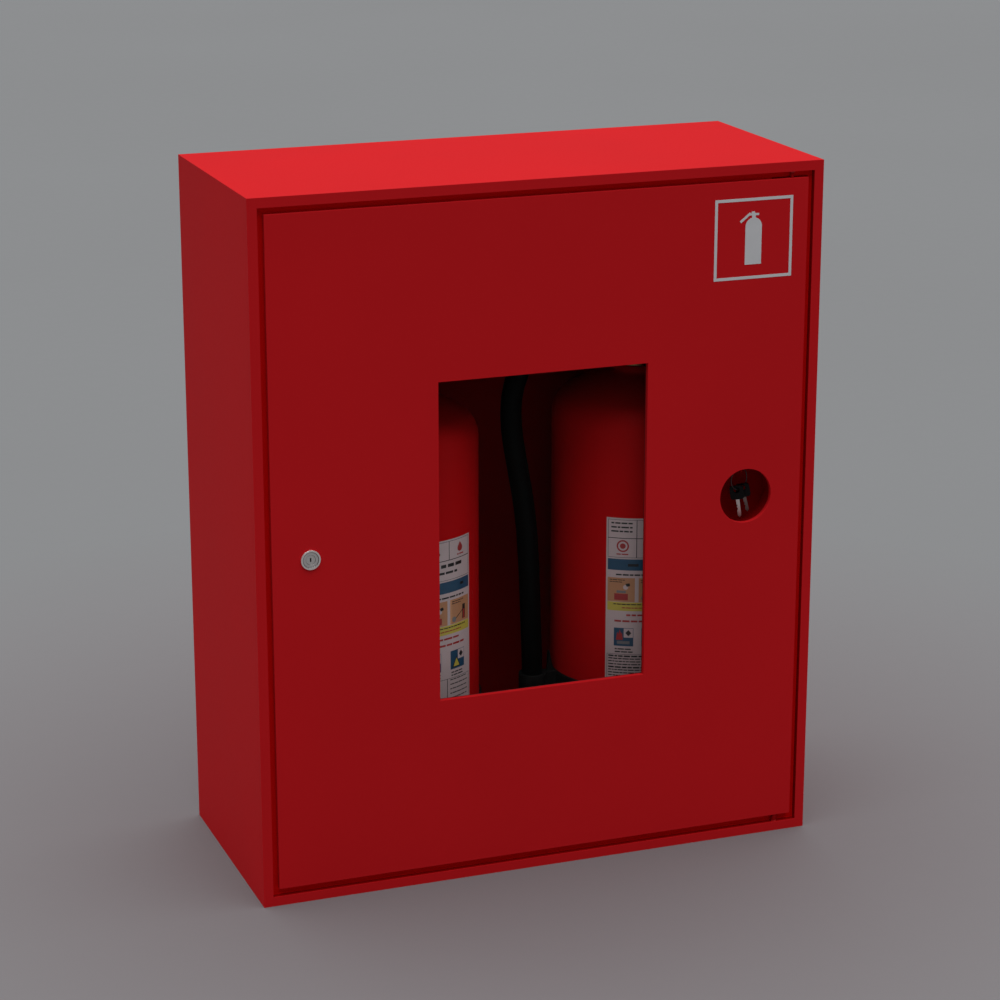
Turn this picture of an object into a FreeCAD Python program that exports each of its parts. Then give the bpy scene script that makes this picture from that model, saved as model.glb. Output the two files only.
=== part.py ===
import FreeCAD, Part
import Sketcher
import math
import os

# A wall cabinet of folded sheet steel that holds two dry-powder fire extinguishers behind a glazed,
# lockable door. Millimetres. The origin is at the centre of the cabinet's base: +X is right,
# +Y runs to the back and +Z is up, so the door faces -Y.

SIZES = {
    # cabinet case
    "case_wide": 540,
    "case_tall": 650,
    "case_deep": 230,
    "sheet_thick": 1.2,
    "rim_wide": 9,
    "rim_deep": 6,
    "stop_wide": 25,
    "hinge_lip": 4,
    "low_lip": 6.5,
    "high_lip": 5.5,
    "hinge_clear_x": 222,
    "bolt_across": 470,
    "bolt_up": 530,
    "bolt_rad": 4,
    "buffer_rad": 4,
    "buffer_thick": 1.15,
    "buffer_x": 249,
    "buffer_inner_x": 100,
    # door
    "door_half": 255.2,
    "door_low": 16,
    "door_high": 635,
    "door_deep": 4.8,
    "hem_wide": 12,
    "window_half": 100,
    "window_low": 177.6,
    "window_high": 475.4,
    "window_lip": 5,
    "gasket_thick": 0.6,
    "gasket_wide": 12,
    "pane_thick": 3,
    "clip_wide": 16,
    "clip_foot": 11,
    # hinge
    "hinge_x": 240,
    "hinge_back": 3.3,
    "pin_rad": 1.5,
    "run_gap": 0.05,
    "bush_rad": 2,
    "bush_head_rad": 2.6,
    "bush_head": 1,
    "bush_long": 4.5,
    "block_half": 7.3,
    "block_tall": 10.2,
    "block_deep": 8.8,
    # lock
    "lock_x": -220,
    "lock_z": 325.4,
    "bezel_rad": 9,
    "bezel_proud": 1.6,
    "bezel_well_rad": 7.2,
    "bezel_well": 0.7,
    "plug_sunk": 1.2,
    "keyway_half": 0.65,
    "keyway_tall": 3.8,
    "barrel_rad": 7.95,
    "barrel_long": 18,
    "plug_rad": 4.35,
    "nut_rad": 11.5,
    "nut_thick": 4,
    "cam_half": 7,
    "cam_thick": 2,
    "cam_step": 11.5,
    "cam_reach": 30,
    "cam_front": 8,
    "square_half": 2.5,
    # key pocket and keys
    "pocket_x": 200.2,
    "pocket_z": 340.4,
    "pocket_rad": 25.7,
    "pocket_deep": 30,
    "pocket_drum_rad": 32,
    "pocket_flange": 5,
    "hook_z": 361.3,
    "hook_wire": 0.9,
    "key_y": -100,
    "ring_x": 200.1,
    "ring_z": 352.6,
    "ring_rad": 10.2,
    "ring_wire": 0.5,
    "ring_turn": 20,
    "bow_wide": 13,
    "bow_tall": 13.4,
    "bow_thick": 2,
    "blade_wide": 3.4,
    "blade_long": 18,
    "blade_thick": 1.2,
    "key_hole": 2.9,
    "key_turn": -25,
    # pictogram on the door
    "sign_left": 163,
    "sign_right": 240.1,
    "sign_low": 545.5,
    "sign_high": 619.7,
    "sign_line": 2.7,
    "figure_x": 201.4,
    "figure_half": 8.1,
    "figure_low": 558.8,
    "figure_round": 593.6,
    "figure_neck": 606,
    "figure_hose_long": 12.5,
    "figure_hose_x": 188.9,
    "figure_hose_z": 597.2,
    "figure_hose_turn": -38,
    "film_thick": 0.15,
    # extinguishers, measured from the foot and the bottle's axis
    "left_x": -106,
    "right_x": 138,
    "bottle_rad": 80,
    "bottle_wall": 2,
    "shoulder_z": 396.8,
    "crown_rad": 121,
    "knuckle_rad": 29,
    "foot_inner": 70,
    "foot_outer": 74,
    "neck_rad": 22,
    "neck_top": 446,
    "throat_rad": 14,
    "valve_foot": 432,
    "valve_rad": 16,
    "valve_flange_rad": 20,
    "valve_flange": 8,
    "valve_top": 518,
    "outlet_z": 498.7,
    "outlet_rad": 9,
    "outlet_long": 23.6,
    "coupling_rad": 12.5,
    "coupling_long": 15,
    "tube_rad": 6,
    "tube_bore": 4.8,
    "tube_foot": 24,
    "gauge_z": 484,
    "gauge_pad_half": 6,
    "gauge_pad_y": 18,
    "gauge_stem": 6,
    "gauge_rad": 14,
    "gauge_deep": 9,
    "lens_rad": 12.4,
    "handle_half": 12,
    "handle_sheet": 1.5,
    "handle_long": 98,
    "handle_back": 22,
    "handle_skirt": 10,
    "ear_end": 14,
    "ear_tall": 15,
    "pivot_back": 14,
    "pivot_up": 8.5,
    "rivet_rad": 2.45,
    "lever_half": 10,
    "lever_sheet": 1.5,
    "lever_long": 110,
    "lever_back": 6,
    "lever_web_up": 4,
    "lever_skirt": 4,
    "lever_lift": 12,
    "stem_rad": 3,
    "stem_low": 492,
    "stem_top": 533.1,
    "safety_x": 8,
    "safety_z": 524.5,
    "safety_rad": 1.5,
    "safety_half": 15,
    "pull_ring_rad": 11,
    "pull_ring_wire": 1,
    "pull_ring_y": 17.2,
    "charge_rad": 77.7,
    "charge_low": 19,
    "charge_high": 385,
    "hose_rad": 10,
    "hose_end": 122,
    "nozzle_end": 46,
    "belt_low": 124.8,
    "belt_high": 147.8,
    "belt_gap": 0.25,
    "belt_thick": 2,
    "clasp_x": 104.6,
    "clasp_bore": 10.2,
    "clasp_rad": 13,
    "label_low": 155.3,
    "label_high": 315.3,
    "label_turn": 84,
    "label_gap": 0.1,
    "label_thick": 0.2,
}

doc = FreeCAD.newDocument("extinguisher_cabinet")
sheet = doc.addObject("Spreadsheet::Sheet", "Sizes")
for row, (alias, size) in enumerate(SIZES.items(), start=1):
    sheet.set(f"A{row}", alias)
    sheet.set(f"B{row}", str(size))
    sheet.setAlias(f"B{row}", alias)
doc.recompute()


class Dim:
    """A number together with the spreadsheet expression that it comes from."""

    def __init__(self, value, text):
        self.value = value
        self.text = text

    def __add__(self, other):
        other = as_dim(other)
        return Dim(self.value + other.value, f"({self.text} + {other.text})")

    def __sub__(self, other):
        other = as_dim(other)
        return Dim(self.value - other.value, f"({self.text} - {other.text})")

    def __mul__(self, other):
        other = as_dim(other)
        return Dim(self.value * other.value, f"({self.text} * {other.text})")

    def __truediv__(self, other):
        other = as_dim(other)
        return Dim(self.value / other.value, f"({self.text} / {other.text})")

    def __radd__(self, other):
        return as_dim(other) + self

    def __rsub__(self, other):
        return as_dim(other) - self

    def __rmul__(self, other):
        return as_dim(other) * self

    def __neg__(self):
        return 0 - self


def as_dim(number):
    if isinstance(number, Dim):
        return number
    return Dim(float(number), f"{float(number):.6f}")


def root(number):
    return Dim(math.sqrt(number.value), f"sqrt({number.text})")


class Sheet:
    """Sheet cells by name, so that d.case_wide is the cell case_wide."""

    def __getattr__(self, alias):
        return Dim(float(SIZES[alias]), f"Sizes.{alias}")


d = Sheet()
FRONT = -d.case_deep / 2
BACK = d.case_deep / 2
HALF = d.case_wide / 2
STEEL = d.sheet_thick
TURNS = {
    "x": FreeCAD.Rotation(FreeCAD.Vector(0, 1, 0), 90),
    "y": FreeCAD.Rotation(FreeCAD.Vector(1, 0, 0), -90),
    "z": FreeCAD.Rotation(),
}


def about(axis, degrees):
    return FreeCAD.Rotation(FreeCAD.Vector(*axis), degrees)


def bind(thing, **sizes):
    for name, size in sizes.items():
        thing.setExpression(name, as_dim(size).text)


def place(thing, x=0, y=0, z=0, turn=None):
    thing.Placement = FreeCAD.Placement(FreeCAD.Vector(), turn or FreeCAD.Rotation())
    for axis, size in (("x", x), ("y", y), ("z", z)):
        thing.setExpression(f"Placement.Base.{axis}", as_dim(size).text)
    return thing


def box(name, x, y, z):
    """A block from the low to the high of each pair."""
    block = doc.addObject("Part::Box", name)
    bind(block, Length=x[1] - as_dim(x[0]), Width=y[1] - as_dim(y[0]), Height=z[1] - as_dim(z[0]))
    return place(block, x[0], y[0], z[0])


def rod(name, axis, radius, span, x=0, y=0, z=0):
    """A round bar along an axis, from the low to the high of span; the other two places are its centre."""
    bar = doc.addObject("Part::Cylinder", name)
    bind(bar, Radius=radius, Height=span[1] - as_dim(span[0]))
    spots = {"x": x, "y": y, "z": z}
    spots[axis] = span[0]
    return place(bar, turn=TURNS[axis], **spots)


def fuse(name, *pieces):
    whole = doc.addObject("Part::MultiFuse", name)
    whole.Shapes = list(pieces)
    whole.Refine = True
    return whole


def cut(name, base, *tools):
    rest = doc.addObject("Part::Cut", name)
    rest.Base = base
    rest.Tool = tools[0] if len(tools) == 1 else fuse(name + "_tools", *tools)
    return rest


def group(name, *solids):
    bunch = doc.addObject("Part::Compound", name)
    bunch.Links = list(solids)
    return bunch


def frame(name, x, y, z, wide):
    """A rectangular frame whose outer edge is x by z, its bars wide across, seen along Y."""
    outer = box(name + "_outer", x, y, z)
    inner = box(
        name + "_inner",
        (x[0] + wide, x[1] - wide),
        (y[0] - 1, y[1] + 1),
        (z[0] + wide, z[1] - wide),
    )
    return cut(name, outer, inner)


def outline(body, plane, corners):
    """A closed sketch through corners. A corner with a third value is reached by an arc of that
    radius, which turns left when the radius is positive and right when it is negative."""
    sketch = body.newObject("Sketcher::SketchObject", "Outline")
    origin = next(f for f in body.Origin.OriginFeatures if f.Role == plane)
    sketch.AttachmentSupport = [(origin, "")]
    sketch.MapMode = "FlatFace"
    dims = [[as_dim(size) for size in corner] for corner in corners]
    spots = [FreeCAD.Vector(c[0].value, c[1].value, 0) for c in dims]
    starts, ends = [], []
    for i, spot in enumerate(spots):
        far = spots[(i + 1) % len(spots)]
        bend = dims[(i + 1) % len(spots)][2:]
        if not bend:
            sketch.addGeometry(Part.LineSegment(spot, far))
            starts.append(1)
            ends.append(2)
            continue
        radius = bend[0].value
        chord = far - spot
        side = FreeCAD.Vector(-chord.y, chord.x, 0).normalize()
        rise = math.sqrt(radius**2 - (chord.Length / 2) ** 2)
        centre = (spot + far) / 2 + side * math.copysign(rise, radius)
        circle = Part.Circle(centre, FreeCAD.Vector(0, 0, 1), abs(radius))
        angles = [math.atan2(p.y - centre.y, p.x - centre.x) for p in (spot, far)]
        if radius < 0:
            angles.reverse()
        if angles[1] < angles[0]:
            angles[1] += 2 * math.pi
        sketch.addGeometry(Part.ArcOfCircle(circle, angles[0], angles[1]))
        starts.append(1 if radius > 0 else 2)
        ends.append(2 if radius > 0 else 1)
    for i in range(len(spots)):
        after = (i + 1) % len(spots)
        sketch.addConstraint(Sketcher.Constraint("Coincident", i, ends[i], after, starts[after]))
    for i, corner in enumerate(dims):
        for kind, size in (("DistanceX", corner[0]), ("DistanceY", corner[1])):
            rule = Sketcher.Constraint(kind, -1, 1, i, starts[i], size.value)
            sketch.setExpression(f"Constraints[{sketch.addConstraint(rule)}]", size.text)
        if corner[2:]:
            size = corner[2] if corner[2].value > 0 else -corner[2]
            rule = Sketcher.Constraint("Radius", (i - 1) % len(spots), size.value)
            sketch.setExpression(f"Constraints[{sketch.addConstraint(rule)}]", size.text)
    sketch.Visibility = False
    return sketch


def turned(name, corners):
    """A body turned about Z from a half section in the XZ plane."""
    body = doc.addObject("PartDesign::Body", name)
    sketch = outline(body, "XZ_Plane", corners)
    lathe = body.newObject("PartDesign::Revolution", "Turning")
    lathe.Profile = sketch
    lathe.ReferenceAxis = (sketch, ["V_Axis"])
    lathe.Angle = 360
    body.Tip = lathe
    return body


def padded(name, plane, corners, thick):
    """A body of the given thickness, half to each side of the plane of its outline."""
    body = doc.addObject("PartDesign::Body", name)
    sketch = outline(body, plane, corners)
    pad = body.newObject("PartDesign::Pad", "Thickness")
    pad.Profile = sketch
    pad.Midplane = True
    bind(pad, Length=thick)
    body.Tip = pad
    return body


nodes = []


def keep(thing, node):
    thing.Label = node
    nodes.append(thing)
    return thing


# ---- Case: one folded and welded shell, its front edge turned in to a rim, a channel and a door stop.
rim_in = HALF - d.rim_wide
rim_low = d.rim_wide
rim_high = d.case_tall - d.rim_wide
stop_y = FRONT + d.rim_deep


def case_shell():
    hollow = (STEEL - HALF, HALF - STEEL), (STEEL, d.case_tall - STEEL)
    wrap = cut(
        "wrap",
        box("wrap_outer", (-HALF, HALF), (FRONT, BACK), (0, d.case_tall)),
        box("wrap_inner", hollow[0], (FRONT + STEEL, BACK + 1), hollow[1]),
        box("mouth", (-rim_in, rim_in), (FRONT - 1, FRONT + 2 * STEEL), (rim_low, rim_high)),
    )
    around = (-rim_in - STEEL, rim_in + STEEL), (rim_low - STEEL, rim_high + STEEL)
    returns = frame("rim_returns", around[0], (FRONT, stop_y), around[1], STEEL)
    stop = cut(
        "door_stop",
        box("stop_plate", around[0], (stop_y, stop_y + STEEL), around[1]),
        box(
            "stop_opening",
            (d.stop_wide - rim_in, d.hinge_clear_x),
            (stop_y - 1, stop_y + 3),
            (rim_low + d.stop_wide, rim_high - d.stop_wide),
        ),
        box(
            "hinge_opening",
            (d.hinge_clear_x - 1, rim_in - d.hinge_lip),
            (stop_y - 1, stop_y + 3),
            (rim_low + d.low_lip, rim_high - d.high_lip),
        ),
    )
    holes = [
        rod(f"bush_seat_{i}", "z", d.bush_rad, span, x=d.hinge_x, y=FRONT + d.hinge_back)
        for i, span in enumerate(((rim_low - 2, rim_low + 1), (rim_high - 1, rim_high + 2)))
    ]
    return cut("case_shell", fuse("case_folded", wrap, returns, stop), *holes)


def back_panel():
    across, tall = (STEEL - HALF, HALF - STEEL), (STEEL, d.case_tall - STEEL)
    plate = box("back_plate", across, (BACK - STEEL, BACK), tall)
    holes = [
        rod(
            f"bolt_hole_{i}",
            "y",
            d.bolt_rad,
            (BACK - 2 * STEEL, BACK + 1),
            x=side * d.bolt_across / 2,
            z=d.case_tall / 2 + level * d.bolt_up / 2,
        )
        for i, (side, level) in enumerate(((-1, -1), (1, -1), (-1, 1), (1, 1)))
    ]
    return cut("back_panel", plate, *holes)


def hinge_bushes():
    """Nylon bushes, their heads in the channel and their sleeves through the rim's return."""
    sides = ((rim_low, -1), (rim_high, 1))
    bushes = []
    for i, (seat, way) in enumerate(sides):
        head = sorted((seat, seat - way * d.bush_head), key=lambda size: size.value)
        sleeve = sorted((seat, seat + way * d.bush_long), key=lambda size: size.value)
        spot = {"x": d.hinge_x, "y": FRONT + d.hinge_back}
        solid = fuse(
            f"bush_{i}",
            rod(f"bush_head_{i}", "z", d.bush_head_rad, head, **spot),
            rod(f"bush_sleeve_{i}", "z", d.bush_rad, sleeve, **spot),
        )
        bore = rod(f"bush_bore_{i}", "z", d.pin_rad + d.run_gap, (seat - 6, seat + 6), **spot)
        bushes.append(cut(f"bush_bored_{i}", solid, bore))
    return group("hinge_bushes", *bushes)


def door_buffers():
    """Rubber discs stuck to the door stop, which the door's hem closes against."""
    spots = [
        (x, z)
        for x in (-d.buffer_x, d.buffer_inner_x)
        for z in (d.door_low + d.hem_wide / 2, d.door_high - d.hem_wide / 2)
    ]
    discs = [
        rod(f"buffer_{i}", "y", d.buffer_rad, (stop_y - d.buffer_thick, stop_y), x=x, z=z)
        for i, (x, z) in enumerate(spots)
    ]
    return group("door_buffers", *discs)


keep(case_shell(), "case_shell")
keep(back_panel(), "back_panel")
keep(hinge_bushes(), "hinge_bushes")
keep(door_buffers(), "door_buffers")

# ---- Door: a shallow folded tray, flush with the rim, that turns on two pins inside its right edge.
door_x = (-d.door_half, d.door_half)
door_z = (d.door_low, d.door_high)
window_x = (-d.window_half, d.window_half)
window_z = (d.window_low, d.window_high)
hinge_y = FRONT + d.hinge_back
skin_back = FRONT + STEEL
hem_back = FRONT + d.door_deep
block_x = (d.hinge_x - d.block_half, d.hinge_x + d.block_half)
block_low = (d.door_low + STEEL, d.door_low + STEEL + d.block_tall)
block_high = (d.door_high - STEEL - d.block_tall, d.door_high - STEEL)


def grown(span, more):
    return (span[0] - more, span[1] + more)


def door_panel():
    skin = box("door_skin", door_x, (FRONT, skin_back), door_z)
    edges = frame("door_edges", door_x, (FRONT, hem_back), door_z, STEEL)
    hem = frame("door_hem", door_x, (hem_back - STEEL, hem_back), door_z, d.hem_wide)
    lip = box("window_edges", grown(window_x, STEEL), (FRONT, FRONT + d.window_lip), grown(window_z, STEEL))
    collar = rod("pocket_collar", "y", d.pocket_rad + STEEL, (FRONT, hem_back), x=d.pocket_x, z=d.pocket_z)
    tools = [
        box("window_hole", window_x, (FRONT - 1, FRONT + 2 * d.window_lip), window_z),
        rod("pocket_hole", "y", d.pocket_rad, (FRONT - 1, FRONT + 9), x=d.pocket_x, z=d.pocket_z),
        rod("lock_hole", "y", d.barrel_rad + d.run_gap, (FRONT - 1, FRONT + 4), x=d.lock_x, z=d.lock_z),
        rod("pin_way", "z", d.pin_rad, (d.door_low - 1, d.door_high + 1), x=d.hinge_x, y=hinge_y),
        box(
            "pin_notch",
            (d.hinge_x - d.pin_rad, d.hinge_x + d.pin_rad),
            (hinge_y, hem_back + 1),
            (d.door_low - 1, d.door_high + 1),
        ),
    ]
    for i, span in enumerate((block_low, block_high)):
        tools.append(box(f"block_notch_{i}", grown(block_x, 0.5), (skin_back, hem_back + 1), span))
    return cut("door_panel", fuse("door_folded", skin, edges, hem, lip, collar), *tools)


def hinge_blocks():
    blocks = []
    for i, span in enumerate((block_low, block_high)):
        solid = box(f"block_{i}", block_x, (skin_back, skin_back + d.block_deep), span)
        bore = rod(f"block_bore_{i}", "z", d.pin_rad, grown(span, 1), x=d.hinge_x, y=hinge_y)
        blocks.append(cut(f"hinge_block_{i}", solid, bore))
    return group("hinge_blocks", *blocks)


def hinge_pins():
    """The lower pin has a collar that carries the door on the bush's head."""
    spot = {"x": d.hinge_x, "y": hinge_y}
    low_head = rim_low + d.bush_head
    upper = rod("upper_pin", "z", d.pin_rad, (block_high[0], rim_high + d.bush_long - 0.5), **spot)
    lower = fuse(
        "lower_pin",
        rod("lower_pin_shank", "z", d.pin_rad, (rim_low + 0.5 - d.bush_long, block_low[1]), **spot),
        rod("lower_pin_collar", "z", d.bush_head_rad, (low_head + d.run_gap, d.door_low), **spot),
    )
    return group("hinge_pins", upper, lower)


gasket_y = (FRONT + d.window_lip, FRONT + d.window_lip + d.gasket_thick)
pane_y = (gasket_y[1], gasket_y[1] + d.pane_thick)
pane_x = grown(window_x, d.gasket_wide)
pane_z = grown(window_z, d.gasket_wide)


def pane_clips():
    """Folded clips welded to the skin, whose tongues press the pane against its gasket."""
    levels = (d.window_low + 34, d.window_low / 2 + d.window_high / 2, d.window_high - 34)
    clips = []
    for side in (-1, 1):
        for level in levels:
            tag = f"{len(clips)}"
            near = pane_x[1] + 1.5
            tall = (level - d.clip_wide / 2, level + d.clip_wide / 2)
            spans = (
                ((near, near + d.clip_foot), (skin_back, skin_back + STEEL)),
                ((near, near + STEEL), (skin_back, pane_y[1] + STEEL)),
                ((near - 9, near + STEEL), (pane_y[1], pane_y[1] + STEEL)),
            )
            strips = []
            for i, (across, deep) in enumerate(spans):
                if side < 0:
                    across = (-across[1], -across[0])
                strips.append(box(f"clip_{tag}_{i}", across, deep, tall))
            clips.append(fuse(f"clip_{tag}", *strips))
    return group("pane_clips", *clips)


def key_pocket():
    """A drum welded behind the round hole in the door, wider than the hole's folded collar."""
    spot = {"x": d.pocket_x, "z": d.pocket_z}
    deep = FRONT + d.pocket_deep
    cup = fuse(
        "pocket_solid",
        rod("pocket_cup", "y", d.pocket_drum_rad + STEEL, (skin_back, deep), **spot),
        rod("pocket_rim", "y", d.pocket_drum_rad + d.pocket_flange, (skin_back, skin_back + STEEL), **spot),
    )
    bore = rod("pocket_bore", "y", d.pocket_drum_rad, (FRONT - 1, deep - STEEL), **spot)
    return cut("key_pocket", cup, bore)


def key_hook():
    """A wire screwed into the pocket's floor, its end turned up in front of the ring."""
    floor = FRONT + d.pocket_deep - STEEL
    end = d.key_y - 4
    spot = {"x": d.ring_x, "z": d.hook_z}
    return fuse(
        "key_hook",
        rod("hook_arm", "y", d.hook_wire, (end - d.hook_wire, floor), **spot),
        rod("hook_tip", "z", d.hook_wire - 0.1, (d.hook_z, d.hook_z + 4), x=d.ring_x, y=end),
        rod("hook_foot", "y", 3, (floor - 1, floor), **spot),
    )


def sign_film():
    """The pictogram: a square border and an extinguisher with its hose, cut from white film."""
    deep = (FRONT - d.film_thick, FRONT)
    mid, half, neck = d.figure_x, d.figure_half, d.figure_neck
    hose_end = box("figure_hose", (0, d.figure_hose_long), deep, (-1.1, 1.1))
    place(hose_end, d.figure_hose_x, deep[0], d.figure_hose_z, about((0, 1, 0), SIZES["figure_hose_turn"]))
    border = frame("sign_border", (d.sign_left, d.sign_right), deep, (d.sign_low, d.sign_high), d.sign_line)
    figure = fuse(
        "sign_figure",
        box("figure_bottle", (mid - half, mid + half), deep, (d.figure_low, d.figure_round)),
        rod("figure_shoulder", "y", half, deep, x=mid, z=d.figure_round),
        box("figure_neck", (mid - 1.8, mid + 1.8), deep, (neck - 6, neck)),
        box("figure_lever", (mid - 3.6, mid + 5.1), deep, (neck - 2.4, neck - 0.4)),
        box("figure_knob", (mid - 2.4, mid + 0.8), deep, (neck - 1, neck + 1.2)),
        hose_end,
    )
    return group("sign_film", border, figure)


keep(door_panel(), "door_panel")
keep(hinge_blocks(), "hinge_blocks")
keep(hinge_pins(), "hinge_pins")
keep(box("pane", pane_x, pane_y, pane_z), "window_pane")
keep(frame("gasket", pane_x, gasket_y, pane_z, d.gasket_wide), "pane_gasket")
keep(pane_clips(), "pane_clips")
keep(key_pocket(), "key_pocket")
keep(key_hook(), "key_hook")
keep(sign_film(), "sign_film")

# ---- Cam lock: housing held by a nut, and a plug whose cranked cam swings behind the door stop.
lock_at = {"x": d.lock_x, "z": d.lock_z}
bezel_front = FRONT - d.bezel_proud
barrel_end = FRONT + d.barrel_long
cam_plate = (barrel_end + 0.2, barrel_end + 0.2 + d.cam_thick)


def lock_housing():
    solid = fuse(
        "housing_solid",
        rod("bezel", "y", d.bezel_rad, (bezel_front, FRONT), **lock_at),
        rod("barrel", "y", d.barrel_rad, (FRONT, barrel_end), **lock_at),
    )
    return cut(
        "lock_housing",
        solid,
        rod("bezel_well", "y", d.bezel_well_rad, (bezel_front - 1, bezel_front + d.bezel_well), **lock_at),
        rod("plug_bore", "y", d.plug_rad + d.run_gap, (bezel_front - 1, barrel_end + 1), **lock_at),
    )


def lock_nut():
    nut = doc.addObject("Part::Prism", "nut_blank")
    nut.Polygon = 6
    bind(nut, Circumradius=d.nut_rad, Height=d.nut_thick)
    place(nut, d.lock_x, skin_back, d.lock_z, TURNS["y"])
    bore = rod("nut_bore", "y", d.barrel_rad, (skin_back - 1, skin_back + d.nut_thick + 1), **lock_at)
    return cut("lock_nut", nut, bore)


def lock_plug():
    square = d.square_half
    solid = fuse(
        "plug_solid",
        rod("plug_round", "y", d.plug_rad, (bezel_front + d.plug_sunk, barrel_end + 0.1), **lock_at),
        box(
            "plug_square",
            (d.lock_x - square, d.lock_x + square),
            (barrel_end, cam_plate[1]),
            (d.lock_z - square, d.lock_z + square),
        ),
    )
    keyway = box(
        "keyway",
        (d.lock_x - d.keyway_half, d.lock_x + d.keyway_half),
        (bezel_front, bezel_front + 16),
        (d.lock_z - d.keyway_tall / 2, d.lock_z + d.keyway_tall / 2),
    )
    thread = rod("plug_thread", "y", 1.25, (barrel_end - 3, cam_plate[1] + 1), **lock_at)
    return cut("lock_plug", solid, keyway, thread)


def lock_cam():
    """At rest the cam points down and the door is free. A quarter turn swings it behind the stop."""
    wide = (d.lock_x - d.cam_half, d.lock_x + d.cam_half)
    step = d.lock_z - d.cam_step
    arm_y = FRONT + d.cam_front
    solid = fuse(
        "cam_solid",
        box("cam_hub", wide, cam_plate, (step - d.cam_thick, d.lock_z + d.cam_half)),
        box("cam_wall", wide, (arm_y, cam_plate[1]), (step - d.cam_thick, step)),
        box("cam_arm", wide, (arm_y, arm_y + d.cam_thick), (d.lock_z - d.cam_reach, step)),
    )
    square = d.square_half
    hole = box(
        "cam_hole",
        (d.lock_x - square, d.lock_x + square),
        grown(cam_plate, 1),
        (d.lock_z - square, d.lock_z + square),
    )
    return cut("lock_cam", solid, hole)


def cam_screw():
    return fuse(
        "cam_screw",
        rod("screw_head", "y", 4, (cam_plate[1], cam_plate[1] + 2), **lock_at),
        rod("screw_shank", "y", 1.25, (barrel_end - 3, cam_plate[1] + 1), **lock_at),
    )


keep(lock_housing(), "lock_housing")
keep(lock_nut(), "lock_nut")
keep(lock_plug(), "lock_plug")
keep(lock_cam(), "lock_cam")
keep(cam_screw(), "cam_screw")

# ---- Keys: a wire ring over the hook carries two keys with moulded bows.
def key_ring():
    ring = doc.addObject("Part::Torus", "key_ring")
    bind(ring, Radius1=d.ring_rad, Radius2=d.ring_wire)
    turn = about((0, 0, 1), SIZES["ring_turn"]).multiply(TURNS["y"])
    return place(ring, d.ring_x, d.key_y, d.ring_z, turn)


def key(name, aside, lean, blade_long):
    """One key, hung from the ring by the bow's hole: aside from the ring's middle and leaning over."""
    half = d.bow_wide / 2
    top = 4.2
    low = top - d.bow_tall
    bow = padded(
        f"{name}_bow_blank",
        "XZ_Plane",
        [
            (3 - half, top),
            (-half, top - 3, 3),
            (-half, low + 3),
            (3 - half, low, 3),
            (half - 3, low),
            (half, low + 3, 3),
            (half, top - 3),
            (half - 3, top, 3),
        ],
        d.bow_thick,
    )
    hole = rod(f"{name}_hole", "y", d.key_hole, (-d.bow_thick, d.bow_thick))
    blade_half = d.blade_wide / 2
    blade = padded(
        f"{name}_blade",
        "XZ_Plane",
        [
            (blade_half, low),
            (-blade_half, low),
            (-blade_half, low - 5),
            (0.8 - blade_half, low - 6),
            (-blade_half, low - 7.5),
            (1 - blade_half, low - 9),
            (-blade_half, low - 11),
            (-blade_half, low + 2 - blade_long),
            (0, low - blade_long),
            (blade_half, low + 2 - blade_long),
        ],
        d.blade_thick,
    )
    turn = about((0, 1, 0), -lean).multiply(about((0, 0, 1), SIZES["key_turn"]))
    near = math.tan(math.radians(SIZES["ring_turn"])) * aside
    drop = math.sqrt(SIZES["ring_rad"] ** 2 - aside**2)
    for thing, node in ((cut(f"{name}_bow", bow, hole), f"{name}_bow"), (blade, f"{name}_blade")):
        place(thing, d.ring_x + aside, d.key_y + near, d.ring_z - drop - 0.2, turn)
        keep(thing, node)


keep(key_ring(), "key_ring")
key("key_a", -2.6, 8.4, d.blade_long)
key("key_b", 4.4, 14.6, d.blade_long - 3)

# ---- Extinguishers: the same stored-pressure powder extinguisher twice, standing on the case's floor.
# The hose leaves the valve on the left, turns down beside the bottle and ends in a nozzle in the belt.
HOSE_ROUTE = [
    (-23.6, 0, 498.7),
    (-51.8, 0, 498.7),
    (-78.6, 0, 490),
    (-101.4, 0, 473.4),
    (-118, 0, 450.6),
    (-126.7, 0, 423.8),
    (-126.7, 0, 393),
    (-120.8, 0, 358),
    (-112.1, 0, 310),
    (-108.3, 0, 258),
    (-106.6, 0, 206),
    (-104.6, 0, 160),
    (-104.6, 0, 122),
]
BEND_SHARE = 0.45


def hose_path(route):
    """Straight runs joined by tangent arcs, each as large as its two runs allow."""
    spots = [FreeCAD.Vector(*spot) for spot in route]
    edges, radii, here = [], [], spots[0]
    for before, corner, after in zip(spots, spots[1:], spots[2:]):
        inward = (corner - before).normalize()
        onward = (after - corner).normalize()
        turn = inward.getAngle(onward)
        reach = BEND_SHARE * min((corner - before).Length, (after - corner).Length)
        radius = reach / math.tan(turn / 2)
        radii.append(radius)
        start = corner - inward * reach
        end = corner + onward * reach
        side = (onward - inward).normalize()
        middle = corner + side * (radius / math.cos(turn / 2) - radius)
        edges.append(Part.LineSegment(here, start).toShape())
        edges.append(Part.Arc(start, middle, end).toShape())
        here = end
    edges.append(Part.LineSegment(here, spots[-1]).toShape())
    return Part.Wire(edges), radii


hose_line, hose_radii = hose_path(HOSE_ROUTE)
print("hose length", round(hose_line.Length, 1), "radii", [round(r) for r in hose_radii])

# knuckle and crown arcs of the bottle's dished top
knuckle_out = d.bottle_rad - d.knuckle_rad
crown_rise = root((d.crown_rad - d.knuckle_rad) * (d.crown_rad - d.knuckle_rad) - knuckle_out * knuckle_out)
crown_z = d.shoulder_z - crown_rise
crown_share = knuckle_out / (d.crown_rad - d.knuckle_rad)
rise_share = crown_rise / (d.crown_rad - d.knuckle_rad)


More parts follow.
